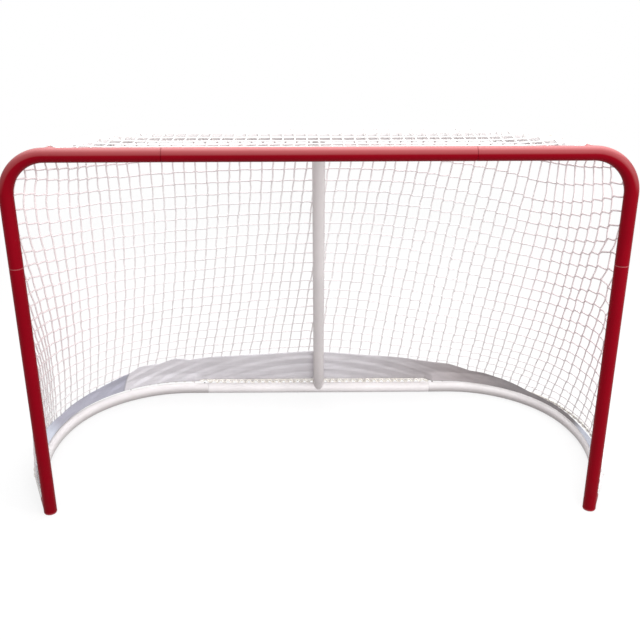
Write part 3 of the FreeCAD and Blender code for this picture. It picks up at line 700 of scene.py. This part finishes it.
# Where a strand that leaves the net crosses its edge
def edgeBetween(inside, outside):
    for attempt in range(14):
        middle = ((inside[0] + outside[0]) / 2, (inside[1] + outside[1]) / 2)
        if inNet(*middle):
            inside = middle
        else:
            outside = middle
    return inside


# Split a line of mesh nodes into the runs that lie in the net, ending on its edge
def strandRuns(line):
    runs, run = [], []
    for k, node in enumerate(line):
        within = inNet(*node)
        if within and not run and k:
            run.append(edgeBetween(node, line[k - 1]))
        if within:
            run.append(node)
        elif run:
            run.append(edgeBetween(run[-1], node))
            runs.append(run)
            run = []
    if len(run) > 1:
        runs.append(run)
    return runs


# One mesh of round cords that follow the paths, closed at their ends
def tubeMesh(name, paths, radius, sides=6):
    vertices, faces = [], []
    for path in paths:
        if len(path) < 2:
            continue
        first = len(vertices)
        across = None
        for k, place in enumerate(path):
            way = path[min(k + 1, len(path) - 1)] - path[max(k - 1, 0)]
            way.normalize()
            if across is None:
                across = way.orthogonal()
            across = across - way * across.dot(way)
            across.normalize()
            other = way.cross(across)
            for s in range(sides):
                angle = 2 * math.pi * s / sides
                vertices.append(place + (across * math.cos(angle) + other * math.sin(angle)) * radius)
        for k in range(len(path) - 1):
            for s in range(sides):
                a, b = first + k * sides + s, first + k * sides + (s + 1) % sides
                faces.append((a, b, b + sides, a + sides))
        last = first + (len(path) - 1) * sides
        faces.append(tuple(first + s for s in reversed(range(sides))))
        faces.append(tuple(last + s for s in range(sides)))
    return meshObject(name, vertices, faces)


# A strand through its knots, bowed a little between them. A level one steps at each knot
def strandPath(run, seeded, level=False, steps=4):
    path = []
    for (aroundA, zA), (aroundB, zB) in zip(run, run[1:]):
        bowOut = seeded.uniform(0, netMesh["slack"])
        bowSide = seeded.uniform(-netMesh["slack"], netMesh["slack"])
        length = math.hypot(aroundB - aroundA, zB - zA) or 1.0
        knotReach = (aroundB - aroundA) * netMesh["knotReach"]
        side = 1 if aroundA > 0 else 0
        limit = netMesh["knotStep"][side]
        step = max(-limit, min(limit, netMesh["knotShare"][side] * (zB - zA))) if level else 0.0
        for s in range(steps):
            t = s / steps
            swell = 4 * t * (1 - t)
            around = aroundA + (aroundB - aroundA) * t - (zB - zA) / length * bowSide * swell
            z = zA + (zB - zA) * t + (aroundB - aroundA) / length * bowSide * swell
            path.append(netPoint(around, z + (step * (1 - 2 * t) if s else 0.0), bowOut * swell))
            if not s and level:
                path.append(netPoint(aroundA + knotReach, zA + step))
        if level:
            path.append(netPoint(aroundB - knotReach, zB - step))
    path.append(netPoint(*run[-1]))
    return path


# Small rounded lumps of twine at the places, flattened along one axis
def knotMesh(name, places, flat, seeded):
    ball = bmesh.new()
    bmesh.ops.create_icosphere(ball, subdivisions=1, radius=1.0)
    ball.verts.ensure_lookup_table()
    shape = [Vector([v.co[axis] * flat[axis] for axis in range(3)]) for v in ball.verts]
    shapeFaces = [tuple(v.index for v in face.verts) for face in ball.faces]
    ball.free()
    vertices, faces = [], []
    for place in places:
        size = netMesh["knot"] / 2 * seeded.uniform(*netMesh["knotSize"])
        first = len(vertices)
        vertices += [place + v * size for v in shape]
        faces += [tuple(first + index for index in face) for face in shapeFaces]
    return meshObject(name, vertices, faces)


def makeNetBody():
    seeded = random.Random(7)
    columns = range(-netMesh["lastColumn"], netMesh["lastColumn"] + 1)
    rows = range(netMesh["rows"][0], netMesh["rows"][1] + 1)
    low, high = netMesh["pullFrom"]
    reach, stray = netMesh["pullReach"], netMesh["stray"]
    grid = {}
    for i in columns:
        for j in rows:
            around, z = meshNode(i, j)
            near = (abs(around) - halfRound(min(z, netTop)) + reach) / reach
            pull = netMesh["pull"][1 if around > 0 else 0] if low < z < high else 0.0
            sway = pull * share(near) * (-1) ** j
            grid[i, j] = (around + sway + seeded.uniform(-1, 1) * stray,
                          z + 0.5 * sway * (-1) ** i + seeded.uniform(-1, 1) * stray)
    upright, level = [], []
    for i in columns:
        upright += [strandPath(run, seeded) for run in strandRuns([grid[i, j] for j in rows])]
    for j in rows:
        level += [strandPath(run, seeded, level=True)
                  for run in strandRuns([grid[i, j] for i in columns])]
    knots = [netPoint(*node) for node in grid.values() if inNet(*node)]
    print("net strands:", len(upright), "rows:", len(level), "knots:", len(knots))
    return (tubeMesh("netStrands", upright, netMesh["twine"] / 2),
            tubeMesh("netRows", level, netMesh["twine"] / 2),
            knotMesh("netKnots", knots, (1, netMesh["knotFlat"], 1), seeded))


netStrands, netRows, netKnots = makeNetBody()


# The net's top, a D between the crossbar's rod and the shelf
topNet = {
    "columnPitch": 0.0385,
    "rowPitch": 0.0440,
    "sag": 0.010,
    "fullSag": 0.3,            # where the net is this deep or more
    "twine": 0.0046,
    "sway": 0.002,             # how far a column may stray from straight
    "swayStep": 0.7,           # how fast it sways, in radians from point to point
    "lift": 0.004,             # above the crossbar's rod
    "behindRod": 0.002,
    "firstRow": 0.6,           # distance of the first row from the front edge, in meshes
    "columnStep": 0.015,       # between the points of a column
    "rowStep": 0.019,          # and of a row
    "rearGap": 0.005,          # no row comes nearer to the rear than this
    "sideGap": 0.004,          # and no knot nearer to the side
    "pastShelf": 0.05,         # its outline goes on past the shelf's end
}


def makeTopNet():
    outline = shelfLine(0.0, topNet["pastShelf"])[0]
    front = rodLine.y + topNet["behindRod"]
    frontZ = rodLine.z + tubeBends["rodRadius"] + topNet["lift"]
    rearZ = shelfRear.z + shelfRadius + netHang["shelfGap"]
    order = np.argsort(outline[:, 1])

    def widthAt(y):
        return float(np.interp(y, outline[order, 1], outline[order, 0]))

    def depthAt(x):
        return float(np.interp(abs(x), outline[:, 0], outline[:, 1]))

    def height(x, y):
        depth = max(1e-4, depthAt(x) - front)
        t = share((y - front) / depth)
        sag = topNet["sag"] * 4 * t * (1 - t) * min(1, depth / topNet["fullSag"])
        return frontZ + (rearZ - frontZ) * t - sag

    seeded = random.Random(11)
    paths, knots = [], []
    widest = int(widthAt(front) / topNet["columnPitch"])
    columns = [i * topNet["columnPitch"] for i in range(-widest, widest + 1)]
    for x in columns:
        rear = depthAt(x) if abs(x) < outline[:, 0].max() else front
        if rear - front <= 0.01:
            continue
        count = max(2, int((rear - front) / topNet["columnStep"]))
        sway = seeded.uniform(-topNet["sway"], topNet["sway"])
        path = []
        for k in range(count + 1):
            y = front + (rear - front) * k / count
            path.append(Vector((x + sway * math.sin(k * topNet["swayStep"]), y, height(x, y))))
        paths.append(path)
    y = front + topNet["rowPitch"] * topNet["firstRow"]
    while y <= shelfRear.y - topNet["rearGap"]:
        half = widthAt(y)
        count = int(2 * half / topNet["rowStep"])
        across = [-half + 2 * half * k / count for k in range(count + 1)]
        paths.append([Vector((x, y, height(x, y))) for x in across])
        knots += [Vector((x, y, height(x, y))) for x in columns if abs(x) < half - topNet["sideGap"]]
        y += topNet["rowPitch"]
    return (tubeMesh("topNetStrands", paths, topNet["twine"] / 2),
            knotMesh("topNetKnots", knots, (1, 1, netMesh["knotFlat"]), seeded))


topNetStrands, topNetKnots = makeTopNet()
print("top net made")


# Lacing: an edge cord round each opening of the net, and the cord wound round it and its rod.
# Each "Round" is the radius that a cord is wound on
lacing = {
    "edge": 0.0046,            # diameters
    "cord": 0.0044,
    "shelfCord": 0.00392,
    "rope": 0.0068,            # the rope along the middle of the base's rod
    "ropeHalf": 0.50,          # how far it runs from the middle
    "ropeRound": (0.0084, 0.0104),        # its two windings, which cross
    "ropeTaper": 0.45,         # how much smaller its loops are at the ends
    "ropePitch": 0.0310,
    "ropeDrop": 0.0035,
    "ropePerTurn": 12,
    "footSteps": 480,          # points of the edge along the foot
    "footEnd": 20,             # of which so many at each end have no winding
    "footRound": 0.0052,
    "postFrom": 0.10,          # height where a post's winding starts
    "postSteps": 80,
    "postRound": 0.0066,
    "pitch": 0.0385,
    "barHalf": 0.735,
    "barSteps": 100,
    "barRound": 0.0075,
    "barTurns": 1.4,           # turns to a mesh along the crossbar
    "barShift": (0, -0.001, -0.0035),
    "shelfClear": 0.0028,      # between the shelf's tube and its cord's middle
    "shelfPerTurn": 20,
}


# A cord wound round a line of places, moved by lift. taper draws its loops in at both ends
def spiralRound(line, radius, pitch, lift=Vector((0, 0, 0)), perTurn=10, hand=1, taper=0.0):
    lengths = [0.0]
    for a, b in zip(line, line[1:]):
        lengths.append(lengths[-1] + (b - a).length)
    count = int(lengths[-1] / pitch * perTurn)
    path, k = [], 0
    for n in range(count + 1):
        at = lengths[-1] * n / count
        while k < len(line) - 2 and lengths[k + 1] < at:
            k += 1
        way = (line[k + 1] - line[k]).normalized()
        place = line[k].lerp(line[k + 1], (at - lengths[k]) / (lengths[k + 1] - lengths[k]))
        reference = Vector((0, 0, 1)) if abs(way.z) < 0.8 else Vector((0, 1, 0))
        side = (reference - way * reference.dot(way)).normalized()
        other = way.cross(side)
        angle = hand * 2 * math.pi * n / perTurn
        reach = radius * (1 - taper * abs(2 * n / count - 1))
        path.append(place + lift + side * math.cos(angle) * reach + other * math.sin(angle) * reach)
    return path


# Along the foot, the rope in the middle and the cord towards the posts
def laceFoot(low):
    half, steps, end = halfRound(low), lacing["footSteps"], lacing["footEnd"]
    places = [-half + 2 * half * k / steps for k in range(steps + 1)]
    foot = [netPoint(around, low) for around in places]
    middle = [k for k, around in enumerate(places) if abs(around) < lacing["ropeHalf"]]
    lift = Vector((0, 0, (baseRear.z + tubeBends["rodRise"] - low) / 2))
    ropeLift = lift - Vector((0, 0, lacing["ropeDrop"]))
    rope = [spiralRound([foot[k] for k in middle], radius, lacing["ropePitch"], ropeLift,
                        lacing["ropePerTurn"], hand, lacing["ropeTaper"])
            for radius, hand in zip(lacing["ropeRound"], (1, -1))]
    wound = [spiralRound(part, lacing["footRound"], lacing["pitch"], lift)
             for part in (foot[end:middle[0] + 1], foot[middle[-1]:-end])]
    return foot, rope, wound


# Each of the next three gives its edge cord's line and the line of the cord wound round it
def lacePost(side, low):
    first, steps = lacing["postFrom"], lacing["postSteps"]
    rise = [first + (netTop - first) * k / steps for k in range(steps + 1)]
    edge = [netPoint(side * halfRound(z), z) for z in rise]
    lift = Vector((0, -netHang["edgeBehindRod"] / 2, 0))
    return ([netPoint(side * halfRound(low), low)] + edge,
            spiralRound(edge, lacing["postRound"], lacing["pitch"], lift))


def laceBar():
    reach, steps = lacing["barHalf"], lacing["barSteps"]
    barY = rodLine.y + topNet["behindRod"]
    barZ = rodLine.z + tubeBends["rodRadius"] + topNet["lift"]
    edge = [Vector((-reach + 2 * reach * k / steps, barY, barZ)) for k in range(steps + 1)]
    return edge, spiralRound(edge, lacing["barRound"], lacing["pitch"] / lacing["barTurns"],
                             Vector(lacing["barShift"]))


def laceShelf():
    shelf = shelfLine(0.0, step=0.01)[0]
    line = [Vector((-x, y, shelfRear.z)) for x, y in shelf[::-1]]
    line += [Vector((x, y, shelfRear.z)) for x, y in shelf[1:]]
    top = Vector((0, 0, shelfRadius + netHang["shelfGap"]))
    return ([place + top for place in line],
            spiralRound(line, shelfRadius + lacing["shelfClear"], lacing["pitch"],
                        perTurn=lacing["shelfPerTurn"]))


def makeLacing():
    low = netHang["lowest"]
    foot, rope, wound = laceFoot(low)
    edges = [foot]
    for edge, winding in (lacePost(-1, low), lacePost(1, low), laceBar()):
        edges.append(edge)
        wound.append(winding)
    shelfEdge, shelfCord = laceShelf()
    edges.append(shelfEdge)
    return (tubeMesh("netEdgeCord", edges, lacing["edge"] / 2, 8),
            tubeMesh("netLacing", wound, lacing["cord"] / 2, 8),
            tubeMesh("netFootRope", rope, lacing["rope"] / 2, 8),
            tubeMesh("shelfLacing", [shelfCord], lacing["shelfCord"] / 2, 6))


# Where the rear net goes over the shelf's tube to meet the top net
def makeShelfTurn(firstAngle=28, turn=62, steps=6):
    reach = shelfRadius + netHang["shelfGap"]
    inner, heading = shelfLine(0.0)
    outer = shelfLine(reach)[0]
    outerLength = lengthsAlong(outer)
    paths = []
    for i in range(-netMesh["lastTopColumn"], netMesh["lastTopColumn"] + 1):
        around = columnAround(i, netTop)
        if abs(around) > outerLength[-1]:
            continue
        k = float(np.interp(abs(around), outerLength, np.arange(len(outer))))
        axis = [np.interp(k, np.arange(len(inner)), inner[:, c]) for c in (0, 1)]
        facing = float(np.interp(k, np.arange(len(inner)), heading))
        out = Vector((math.sin(facing), math.cos(facing), 0))
        side = -1 if around < 0 else 1
        path = [netPoint(around, netTop)]
        for step in range(steps + 1):
            angle = math.radians(firstAngle + turn * step / steps)
            place = Vector((axis[0], axis[1], shelfRear.z)) + out * reach * math.cos(angle)
            place.z += reach * math.sin(angle)
            path.append(Vector((side * place.x, place.y, place.z)))
        paths.append(path)
    return tubeMesh("netOverShelf", paths, netMesh["twine"] / 2)


netEdgeCord, netLacing, netFootRope, shelfLacing = makeLacing()
netOverShelf = makeShelfTurn()
print("lacing wound")


# Twine colours, linear. The level strands' twine is a darker copy of the upright strands' twine, as
# painted shade
twine = {
    "net": {"Colour": (0.98, 0.955, 0.955, 1), "Groove Shade Colour": (0.90, 0.87, 0.87, 1),
            "Soil Colour": (0.90, 0.87, 0.87, 1), "Rub Colour": (0.84, 0.64, 0.66, 1), "Soil": 0.3,
            "Rub": 0.5, "Twist": 420.0},
    # Painted shade: the level strands are the same twine, darker, to even out the stronger light they
    # catch from above
    "row": {"Colour": (0.86, 0.82, 0.825, 1), "Groove Shade Colour": (0.74, 0.69, 0.70, 1),
            "Soil Colour": (0.76, 0.71, 0.72, 1), "Rub Colour": (0.74, 0.56, 0.58, 1), "Soil": 0.3,
            "Rub": 0.5, "Twist": 420.0},
    "knot": {"Colour": (0.92, 0.88, 0.885, 1), "Groove Shade Colour": (0.79, 0.74, 0.75, 1),
             "Soil Colour": (0.80, 0.75, 0.76, 1), "Rub Colour": (0.78, 0.60, 0.62, 1), "Soil": 0.4,
             "Rub": 0.5, "Twist": 500.0},
    "top": {"Colour": (0.96, 0.94, 0.93, 1), "Groove Shade Colour": (0.86, 0.84, 0.83, 1),
            "Soil Colour": (0.84, 0.81, 0.79, 1), "Soil": 0.35, "Twist": 420.0},
    "lace": {"Colour": (0.90, 0.88, 0.84, 1), "Groove Shade Colour": (0.66, 0.62, 0.55, 1),
             "Soil Colour": (0.68, 0.62, 0.53, 1), "Soil": 0.35, "Twist": 350.0},
}
twineFinish = {name: finishMaterial(name + "Twine", twistedTwine, values, 0.5, 0.00015,
                                    {"Sheen Weight": 0.1, "Specular IOR Level": 0.2})
               for name, values in twine.items()}
twinePieces = {
    "net": [netStrands],
    "row": [netRows],
    "knot": [netKnots],
    "top": [topNetStrands, topNetKnots, shelfLacing, netOverShelf],
    "lace": [netEdgeCord, netLacing, netFootRope],
}
for name, pieces in twinePieces.items():
    for piece in pieces:
        piece.data.materials.append(twineFinish[name])
        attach(piece, "frame")
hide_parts("net_back", "net_side_left", "net_side_right")
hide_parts("net_back", "net_side_left", "net_side_right")
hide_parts("net_top")


# The cloth strip inside the net's foot
skirtCloth = {
    "inside": 0.0055,          # how far inside the net's surface it starts
    "lap": (0.0190, 0.0290),   # how far it laps onto the base tube beyond the rope, left and right
    "lapHeight": 0.040,        # over this height
    "lapGrow": 0.03,           # and over this distance from the rope's end
    "thickness": 0.0012,
    "end": 0.054,              # how far its ends stop short of the posts
    # Heights of its edges, by the distance round the goal
    "upper": ((-1.66, 0.130), (-1.45, 0.112), (-1.28, 0.100), (-1.22, 0.094), (-1.09, 0.103),
              (-0.98, 0.112), (-0.83, 0.143), (-0.775, 0.171), (-0.69, 0.171), (-0.62, 0.195),
              (-0.555, 0.184), (-0.465, 0.200), (-0.30, 0.211), (-0.03, 0.233), (0.355, 0.191),
              (0.48, 0.165), (0.57, 0.149), (0.665, 0.113), (0.73, 0.107), (0.78, 0.096),
              (0.855, 0.085), (0.955, 0.070), (1.05, 0.066), (1.3, 0.064), (1.45, 0.072),
              (1.66, 0.085)),
    "lower": ((-1.2, 0.0550), (-0.80, 0.0580), (-0.50, 0.0605), (0.455, 0.0600), (0.60, 0.0580),
              (0.70, 0.0545), (0.85, 0.0515), (1.3, 0.0505)),
    "middle": (-0.515, 0.470),            # where the rope below it ends
    "foldDepth": (0.012, 0.0055),         # left and right
    "foldChange": 0.1,         # from one depth to the other over this distance each side
    "foldRise": 0.02,          # the folds start over this height above the lower edge
    "foldFade": 0.03,          # and flatten over this height below the upper one
    "foldLeft": 0.45,          # to this share of their depth
    "foldSpacing": 0.034,      # from fold to fold, upwards
    "foldSlope": 0.50,         # the folds rise towards the middle from both sides
    "foldTurn": 0.30,          # and level out over this distance
}


# How deep the cloth's folds are at a place, 0 to 1
def foldAt(around, z):
    spacing, turn = skirtCloth["foldSpacing"], skirtCloth["foldTurn"]
    rise = -skirtCloth["foldSlope"] * math.hypot(around, turn)
    phase = 2 * math.pi * (z - rise) / spacing
    wide = math.sin(phase * 0.62 + 1.3 * math.sin(around * 6.1) + 0.7)
    fine = math.sin(phase * 1.37 + 1.7 * math.sin(around * 9.7 + 2.0))
    vary = 0.55 + 0.45 * math.sin(around * 4.3 + 0.6) * math.sin(around * 2.1 + z * 9.0)
    return (0.5 + 0.5 * (0.7 * wide + 0.3 * fine)) * vary


def makeSkirt(alongSteps=900, upSteps=22):
    half = halfRound(netHang["lowest"]) - skirtCloth["end"]
    (upperAt, upperZ), (lowerAt, lowerZ) = zip(*skirtCloth["upper"]), zip(*skirtCloth["lower"])
    leftDeep, rightDeep = skirtCloth["foldDepth"]
    change, left = skirtCloth["foldChange"], skirtCloth["foldLeft"]
    vertices, faces, uvs = [], [], []
    for k in range(alongSteps + 1):
        around = -half + 2 * half * k / alongSteps
        high = float(np.interp(around, upperAt, upperZ))
        low = float(np.interp(around, lowerAt, lowerZ))
        past = max(skirtCloth["middle"][0] - around, around - skirtCloth["middle"][1])
        outer = skirtCloth["lap"][1 if around > 0 else 0] * share(past / skirtCloth["lapGrow"])
        deep = leftDeep + (rightDeep - leftDeep) * share((around + change) / (2 * change))
        for s in range(upSteps + 1):
            z = low + (high - low) * s / upSteps
            ease = left + (1 - left) * min(1.0, (high - z) / skirtCloth["foldFade"])
            ease *= min(1.0, (z - low) / skirtCloth["foldRise"])
            start = skirtCloth["inside"] + outer * max(0.0, 1 - (z - low) / skirtCloth["lapHeight"])
            inwards = start + deep * foldAt(around, z) * ease
            vertices.append(netPoint(around, z, -inwards))
            uvs.append((around, z))
    width = upSteps + 1
    for k in range(alongSteps):
        for s in range(upSteps):
            a = k * width + s
            faces.append((a, a + width, a + width + 1, a + 1))
    piece = meshObject("skirtCloth", vertices, faces)
    area = sum(face.area for face in piece.data.polygons)
    layer = piece.data.uv_layers.new(name="cut")
    for loop in piece.data.loops:
        layer.data[loop.index].uv = uvs[loop.vertex_index]
    thick = piece.modifiers.new("thickness", "SOLIDIFY")
    thick.thickness = skirtCloth["thickness"]
    thick.offset = 0
    return piece, 2 * half, max(upperZ) - min(lowerZ), area


skirt, skirtLength, skirtHeight, skirtArea = makeSkirt()
skirtLook = {
    "Colour": (0.775, 0.755, 0.79, 1),
    "Left Colour": (0.46, 0.46, 0.54, 1),
    "Right Colour": (0.41, 0.37, 0.375, 1),
    "Far Right Colour": (0.27, 0.25, 0.255, 1),
    "End Colour": (0.72, 0.77, 0.88, 1),
    "Left Seam": -0.909,       # distance round the goal
    "Seam Lean": 0.55,
    "Threads": 500.0,          # to a metre
}
skirt.data.materials.append(finishMaterial("skirtWeave", wovenCloth, skirtLook, 0.3, 0.0006,
                                           {"Sheen Weight": 0.15, "Specular IOR Level": 0.2}))
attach(skirt, "frame")
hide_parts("skirt")
print("skirt hung, metres long:", round(skirtLength, 3), "high:", round(skirtHeight, 3), "area:",
      round(skirtArea, 3))


# Studio
studio = {
    "floorRadius": 14.0,
    "floorSides": 96,
    "floorColour": (0.86, 0.86, 0.86, 1),
    "floorBounce": (0.27, 0.25, 0.25, 1),     # the colour that it lends to the goal
    "whiteNear": 0.80,         # how much of the floor's shading is hidden near the goal
    "whiteFrom": 1.6,          # from here the rest is hidden too
    "whiteTo": 4.5,
    "worldLight": 0.60,
    "lamps": {
        "overhead": {"place": (0.3, -0.2, 4.0), "aim": (0, -0.2, 0.3), "size": (3.6, 2.2), "power": 90},
        "rear": {"place": (0.0, 2.1, 3.7), "aim": (0, -0.4, 1.2), "size": (4.0, 1.0), "power": 55},
        "front": {"place": (0.8, -5.0, 3.0), "aim": (0, 0, 0.7), "size": (4.0, 2.6), "power": 185},
        "right": {"place": (3.4, -1.9, 1.9), "aim": (0.6, -0.2, 0.7), "size": (1.2, 1.8), "power": 60},
    },
}


# White that only the camera, gloss and glass see; amount is a socket or a value
def makeWhite(tree, amount):
    path = tree.nodes.new("ShaderNodeLightPath").outputs
    seen = calc(tree, "ADD", path["Is Camera Ray"], path["Is Glossy Ray"])
    seen = calc(tree, "ADD", seen, path["Is Transmission Ray"], clamp=True)
    return calc(tree, "MULTIPLY", seen, amount)


def makeFloor():
    radius, count = studio["floorRadius"], studio["floorSides"]
    angles = [2 * math.pi * k / count for k in range(count)]
    rim = [(radius * math.cos(angle), radius * math.sin(angle), 0) for angle in angles]
    faces = [(0, 1 + k, 1 + (k + 1) % count) for k in range(count)]
    floor = meshObject("studioFloor", [(0, 0, 0)] + rim, faces)
    material = bpy.data.materials.new("studioFloorPaint")
    material.use_nodes = True
    tree = material.node_tree
    shader = tree.nodes["Principled BSDF"]
    bounced = tree.nodes.new("ShaderNodeLightPath").outputs["Is Diffuse Ray"]
    tree.links.new(mixColours(tree, bounced, studio["floorColour"], studio["floorBounce"]),
                   shader.inputs["Base Color"])
    shader.inputs["Roughness"].default_value = 0.9
    shader.inputs["Specular IOR Level"].default_value = 0.1
    place = tree.nodes.new("ShaderNodeTexCoord").outputs["Object"]
    away = addNode(tree, "ShaderNodeVectorMath", {0: place}, operation="LENGTH").outputs["Value"]
    white = spread(tree, away, studio["whiteFrom"], studio["whiteTo"], studio["whiteNear"], 1.0)
    glow = addNode(tree, "ShaderNodeEmission", {"Color": (1, 1, 1, 1), "Strength": 1.0})
    mix = addNode(tree, "ShaderNodeMixShader", {0: makeWhite(tree, white), 1: shader.outputs[0],
                                                2: glow.outputs[0]})
    tree.links.new(mix.outputs[0], tree.nodes["Material Output"].inputs["Surface"])
    floor.data.materials.append(material)


def makeWorld():
    world = bpy.data.worlds.new("studioWorld")
    bpy.context.scene.world = world
    world.use_nodes = True
    tree = world.node_tree
    background = tree.nodes["Background"]
    background.inputs["Color"].default_value = (1, 1, 1, 1)
    seen = makeWhite(tree, 1.0)
    strength = spread(tree, seen, 0.0, 1.0, studio["worldLight"], 1.0)
    tree.links.new(strength, background.inputs["Strength"])


def makeLamps():
    for name, lamp in studio["lamps"].items():
        data = bpy.data.lights.new(name + "Lamp", "AREA")
        data.shape = "RECTANGLE"
        data.size, data.size_y = lamp["size"]
        data.energy = lamp["power"]
        made = bpy.data.objects.new(name + "Lamp", data)
        made.location = lamp["place"]
        way = Vector(lamp["aim"]) - Vector(lamp["place"])
        made.rotation_euler = way.to_track_quat("-Z", "Y").to_euler()
        bpy.context.scene.collection.objects.link(made)


makeFloor()
makeWorld()
makeLamps()
bpy.context.scene.view_settings.view_transform = "Standard"
print("studio lit")
